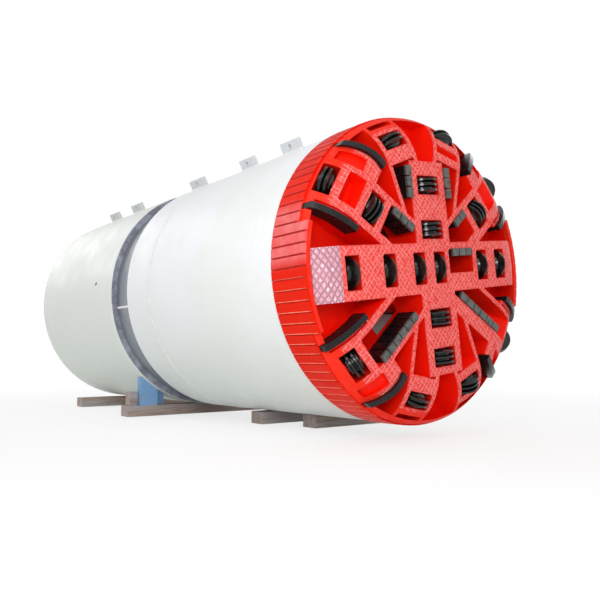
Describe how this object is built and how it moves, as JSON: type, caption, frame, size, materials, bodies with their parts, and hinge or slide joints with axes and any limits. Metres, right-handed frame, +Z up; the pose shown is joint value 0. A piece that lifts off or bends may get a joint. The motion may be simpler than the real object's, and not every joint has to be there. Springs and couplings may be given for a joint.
{
  "type": "tunnel boring machine",
  "caption": "Articulated pipe-jacking tunnel boring machine with a rotating disc-cutter cutterhead, two round shields and timber supports.",
  "frame": {"origin": "on the floor under the middle of the machine (middle of the bounding box, its bottom face)", "axes": "+Z up, +Y along the machine axis towards the tail, the cutterhead faces -Y, +X to the right seen from the front"},
  "size_m": [3.162, 7.2565, 3.301],
  "materials": {
    "head_red": "satin red paint, scuffed",
    "strip_red": "satin orange-red paint over hardened strips",
    "lip_black": "gloss black paint",
    "cutter_black": "gloss black paint over forged steel",
    "tooth_steel": "dull hardened steel",
    "pad_pink": "painted hard-facing weld in a diamond pattern",
    "shield_white": "satin off-white paint",
    "band_steel": "bare machined steel",
    "machine_grey": "grey primer",
    "timber": "rough sawn",
    "wedge_blue": "blue paint, worn"
  },
  "bodies": {
    "rear_shield": {"rear_skin": "shield_white", "rear_front_ring": "shield_white", "steering_spigot": "band_steel", "rear_bulkhead": "shield_white", "slurry_pipe_left": "machine_grey", "slurry_pipe_right": "machine_grey", "door_brackets": "shield_white", "rear_lugs": "shield_white", "sleeper_middle": "timber", "sleeper_rear": "timber", "chocks": "wedge_blue", "packing_block": "timber"},
    "steering_ring": {"seal_ring": "band_steel"},
    "front_shield": {"front_skin": "shield_white", "front_tail": "shield_white", "bulkhead": "shield_white", "main_drive": "machine_grey", "front_lugs": "shield_white", "sleeper_nose": "timber", "sleeper_front": "timber"},
    "cutterhead": {"spoke_level": "head_red", "spoke_upper": "head_red", "spoke_lower": "head_red", "arm_upper_left": "head_red", "arm_upper_right": "head_red", "arm_lower_left": "head_red", "arm_lower_right": "head_red", "side_arm_upper_left": "head_red", "side_arm_upper_right": "head_red", "side_arm_lower_left": "head_red", "side_arm_lower_right": "head_red", "gauge_lips": "lip_black", "scraper_bodies": "lip_black", "scraper_tips": "tooth_steel", "hardfaced_pad": "pad_pink", "rim": "head_red", "back_plate": "head_red", "wear_strips": "strip_red", "drive_hub": "head_red"},
    "cutter_level_1": {"cutter_level_1": "cutter_black"},
    "cutter_level_2": {"cutter_level_2": "cutter_black"},
    "cutter_level_3": {"cutter_level_3": "cutter_black"},
    "cutter_level_4": {"cutter_level_4": "cutter_black"},
    "cutter_level_5": {"cutter_level_5": "cutter_black"},
    "cutter_level_6": {"cutter_level_6": "cutter_black"},
    "cutter_upright_1": {"cutter_upright_1": "cutter_black"},
    "cutter_upright_2": {"cutter_upright_2": "cutter_black"},
    "cutter_upright_3": {"cutter_upright_3": "cutter_black"},
    "cutter_upright_4": {"cutter_upright_4": "cutter_black"},
    "cutter_slant_1": {"cutter_slant_1": "cutter_black"},
    "cutter_slant_2": {"cutter_slant_2": "cutter_black"},
    "cutter_gauge_2": {"cutter_gauge_2": "cutter_black"},
    "cutter_gauge_3": {"cutter_gauge_3": "cutter_black"},
    "cutter_gauge_4": {"cutter_gauge_4": "cutter_black"},
    "cutter_gauge_5": {"cutter_gauge_5": "cutter_black"},
    "cutter_gauge_6": {"cutter_gauge_6": "cutter_black"},
    "cutter_gauge_7": {"cutter_gauge_7": "cutter_black"},
    "cutter_gauge_8": {"cutter_gauge_8": "cutter_black"},
    "cutter_gauge_9": {"cutter_gauge_9": "cutter_black"},
    "access_door": {"access_door": "shield_white"}
  },
  "joints": [
    {"name": "steering_yaw", "type": "hinge", "parent": "rear_shield", "child": "steering_ring", "pos_m": [0, 0.15425, 1.72], "axis": [0, 0, 1], "range_deg": [-2, 2]},
    {"name": "steering_pitch", "type": "hinge", "parent": "steering_ring", "child": "front_shield", "pos_m": [0, 0.15425, 1.72], "axis": [-1, 0, 0], "range_deg": [-2, 2]},
    {"name": "cutterhead_rotation", "type": "hinge", "parent": "front_shield", "child": "cutterhead", "pos_m": [0, -2.91575, 1.72], "axis": [0, -1, 0], "continuous": true},
    {"name": "cutter_level_1_spin", "type": "hinge", "parent": "cutterhead", "child": "cutter_level_1", "pos_m": [-1.12417, -3.47574, 1.57599], "axis": [-0.9919, 0.0076, -0.1271], "continuous": true},
    {"name": "cutter_level_2_spin", "type": "hinge", "parent": "cutterhead", "child": "cutter_level_2", "pos_m": [-0.65068, -3.47575, 1.63665], "axis": [-0.9919, 0, -0.1271], "continuous": true},
    {"name": "cutter_level_3_spin", "type": "hinge", "parent": "cutterhead", "child": "cutter_level_3", "pos_m": [-0.23409, -3.47575, 1.69001], "axis": [-0.9919, 0, -0.1271], "continuous": true},
    {"name": "cutter_level_4_spin", "type": "hinge", "parent": "cutterhead", "child": "cutter_level_4", "pos_m": [0.06745, -3.47575, 1.72864], "axis": [0.9919, 0, 0.1271], "continuous": true},
    {"name": "cutter_level_5_spin", "type": "hinge", "parent": "cutterhead", "child": "cutter_level_5", "pos_m": [0.74888, -3.47575, 1.81593], "axis": [0.9919, 0, 0.1271], "continuous": true},
    {"name": "cutter_level_6_spin", "type": "hinge", "parent": "cutterhead", "child": "cutter_level_6", "pos_m": [1.0653, -3.47575, 1.85647], "axis": [0.9919, 0, 0.1271], "continuous": true},
    {"name": "cutter_upright_1_spin", "type": "hinge", "parent": "cutterhead", "child": "cutter_upright_1", "pos_m": [-0.10521, -3.47575, 2.54129], "axis": [-0.1271, 0, 0.9919], "continuous": true},
    {"name": "cutter_upright_2_spin", "type": "hinge", "parent": "cutterhead", "child": "cutter_upright_2", "pos_m": [-0.04867, -3.47575, 2.0999], "axis": [-0.1271, 0, 0.9919], "continuous": true},
    {"name": "cutter_upright_3_spin", "type": "hinge", "parent": "cutterhead", "child": "cutter_upright_3", "pos_m": [0.06417, -3.47575, 1.21909], "axis": [0.1271, 0, -0.9919], "continuous": true},
    {"name": "cutter_upright_4_spin", "type": "hinge", "parent": "cutterhead", "child": "cutter_upright_4", "pos_m": [0.11385, -3.47575, 0.83126], "axis": [0.1271, 0, -0.9919], "continuous": true},
    {"name": "cutter_slant_1_spin", "type": "hinge", "parent": "cutterhead", "child": "cutter_slant_1", "pos_m": [-0.87452, -3.47575, 2.19878], "axis": [-0.8771, 0, 0.4802], "continuous": true},
    {"name": "cutter_slant_2_spin", "type": "hinge", "parent": "cutterhead", "child": "cutter_slant_2", "pos_m": [0.68629, -3.47575, 2.36673], "axis": [0.7278, 0, 0.6858], "continuous": true},
    {"name": "cutter_gauge_2_spin", "type": "hinge", "parent": "cutterhead", "child": "cutter_gauge_2", "pos_m": [-1.26566, -3.34624, 2.41293], "axis": [-0.6206, 0.7067, 0.3398], "continuous": true},
    {"name": "cutter_gauge_3_spin", "type": "hinge", "parent": "cutterhead", "child": "cutter_gauge_3", "pos_m": [1.0483, -3.34874, 2.70786], "axis": [0.519, 0.701, 0.4891], "continuous": true},
    {"name": "cutter_gauge_4_spin", "type": "hinge", "parent": "cutterhead", "child": "cutter_gauge_4", "pos_m": [-0.99945, -3.40293, 0.77817], "axis": [-0.6081, 0.5494, -0.573], "continuous": true},
    {"name": "cutter_gauge_5_spin", "type": "hinge", "parent": "cutterhead", "child": "cutter_gauge_5", "pos_m": [1.26566, -3.34624, 1.02707], "axis": [0.6206, 0.7067, -0.3398], "continuous": true},
    {"name": "cutter_gauge_6_spin", "type": "hinge", "parent": "cutterhead", "child": "cutter_gauge_6", "pos_m": [-0.54542, -3.44169, 2.90039], "axis": [-0.3872, 0.3846, 0.838], "continuous": true},
    {"name": "cutter_gauge_7_spin", "type": "hinge", "parent": "cutterhead", "child": "cutter_gauge_7", "pos_m": [0.24468, -3.39727, 3.07985], "axis": [0.1457, 0.5684, 0.8098], "continuous": true},
    {"name": "cutter_gauge_8_spin", "type": "hinge", "parent": "cutterhead", "child": "cutter_gauge_8", "pos_m": [-0.23145, -3.43883, 0.43363], "axis": [-0.1623, 0.3997, -0.9021], "continuous": true},
    {"name": "cutter_gauge_9_spin", "type": "hinge", "parent": "cutterhead", "child": "cutter_gauge_9", "pos_m": [0.52782, -3.45674, 0.57769], "axis": [0.4014, 0.2899, -0.8688], "continuous": true},
    {"name": "door_hinge", "type": "hinge", "parent": "rear_shield", "child": "access_door", "pos_m": [-0.346, 2.94725, 1.72], "axis": [0, 0, 1], "range_deg": [0, 100]}
  ]
}
